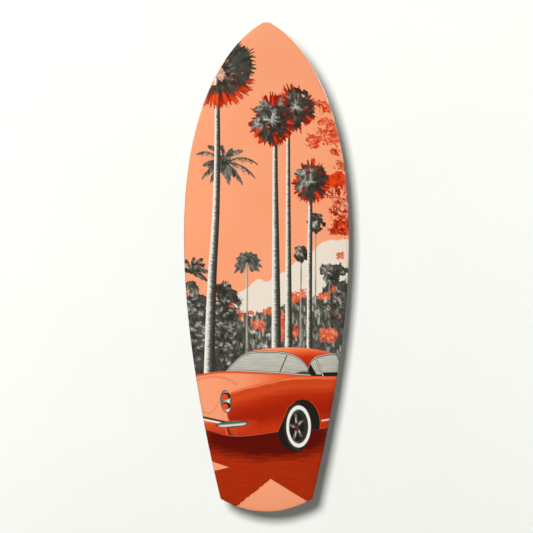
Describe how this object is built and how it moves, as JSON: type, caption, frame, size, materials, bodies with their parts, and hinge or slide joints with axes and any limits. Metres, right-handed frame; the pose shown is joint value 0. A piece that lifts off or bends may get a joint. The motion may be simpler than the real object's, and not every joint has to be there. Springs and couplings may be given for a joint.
{
  "type": "surfboard",
  "caption": "Short, wide surfboard with a blunt pointed nose, a square tail and a printed deck over a foam and glass core, with pull-out fins clamped by grub screws.",
  "frame": {"origin": "on the flat spot of the bottom, on the centre line, halfway along the board", "axes": "+Z towards the nose, +Y out of the bottom on the fin side, the deck faces -Y, +X across to the right when the deck is looked at with the nose up"},
  "size_m": [0.5524, 0.2102, 1.626],
  "materials": {
    "printed_topsheet": "gloss",
    "bottom_gloss": "gloss",
    "fibreglass": "satin",
    "foam": "matte",
    "stringer_wood": "matte",
    "fin_composite": "gloss",
    "plug_plastic": "satin",
    "screw_steel": "satin"
  },
  "bodies": {
    "board": {"deck_topsheet": "printed_topsheet", "bottom_sheet": "bottom_gloss", "deck_laminate": "fibreglass", "bottom_laminate": "fibreglass", "blank_left": "foam", "blank_right": "foam", "stringer": "stringer_wood", "plug_centre_front": "plug_plastic", "plug_centre_rear": "plug_plastic", "plug_left_front": "plug_plastic", "plug_left_rear": "plug_plastic", "plug_right_front": "plug_plastic", "plug_right_rear": "plug_plastic"},
    "fin_centre": {"fin_centre": "fin_composite"},
    "fin_left": {"fin_left": "fin_composite"},
    "fin_right": {"fin_right": "fin_composite"},
    "grub_centre_front": {"grub_centre_front": "screw_steel"},
    "grub_centre_rear": {"grub_centre_rear": "screw_steel"},
    "grub_left_front": {"grub_left_front": "screw_steel"},
    "grub_left_rear": {"grub_left_rear": "screw_steel"},
    "grub_right_front": {"grub_right_front": "screw_steel"},
    "grub_right_rear": {"grub_right_rear": "screw_steel"}
  },
  "joints": [
    {"name": "pull_centre_fin", "type": "slide", "parent": "board", "child": "fin_centre", "axis": [0, 0.9938, -0.1112], "range_m": [0, 0.04]},
    {"name": "pull_left_fin", "type": "slide", "parent": "board", "child": "fin_left", "axis": [-0.1046, 0.9928, -0.0588], "range_m": [0, 0.04]},
    {"name": "pull_right_fin", "type": "slide", "parent": "board", "child": "fin_right", "axis": [0.1046, 0.9928, -0.0588], "range_m": [0, 0.04]},
    {"name": "turn_centre_front_grub", "type": "hinge", "parent": "board", "child": "grub_centre_front", "pos_m": [0.00765, -0.02826, -0.63567], "axis": [0.5679, 0.818, -0.0916], "range_deg": [0, 1080]},
    {"name": "turn_centre_rear_grub", "type": "hinge", "parent": "board", "child": "grub_centre_rear", "pos_m": [0.00765, -0.0356, -0.70125], "axis": [0.5679, 0.818, -0.0916], "range_deg": [0, 1080]},
    {"name": "turn_left_front_grub", "type": "hinge", "parent": "board", "child": "grub_left_front", "pos_m": [-0.18127, -0.01384, -0.44536], "axis": [-0.6501, 0.7597, -0.0136], "range_deg": [0, 1080]},
    {"name": "turn_left_rear_grub", "type": "hinge", "parent": "board", "child": "grub_left_rear", "pos_m": [-0.1849, -0.01812, -0.51113], "axis": [-0.6501, 0.7597, -0.0136], "range_deg": [0, 1080]},
    {"name": "turn_right_front_grub", "type": "hinge", "parent": "board", "child": "grub_right_front", "pos_m": [0.18127, -0.01384, -0.44536], "axis": [0.6501, 0.7597, -0.0136], "range_deg": [0, 1080]},
    {"name": "turn_right_rear_grub", "type": "hinge", "parent": "board", "child": "grub_right_rear", "pos_m": [0.1849, -0.01812, -0.51113], "axis": [0.6501, 0.7597, -0.0136], "range_deg": [0, 1080]}
  ]
}
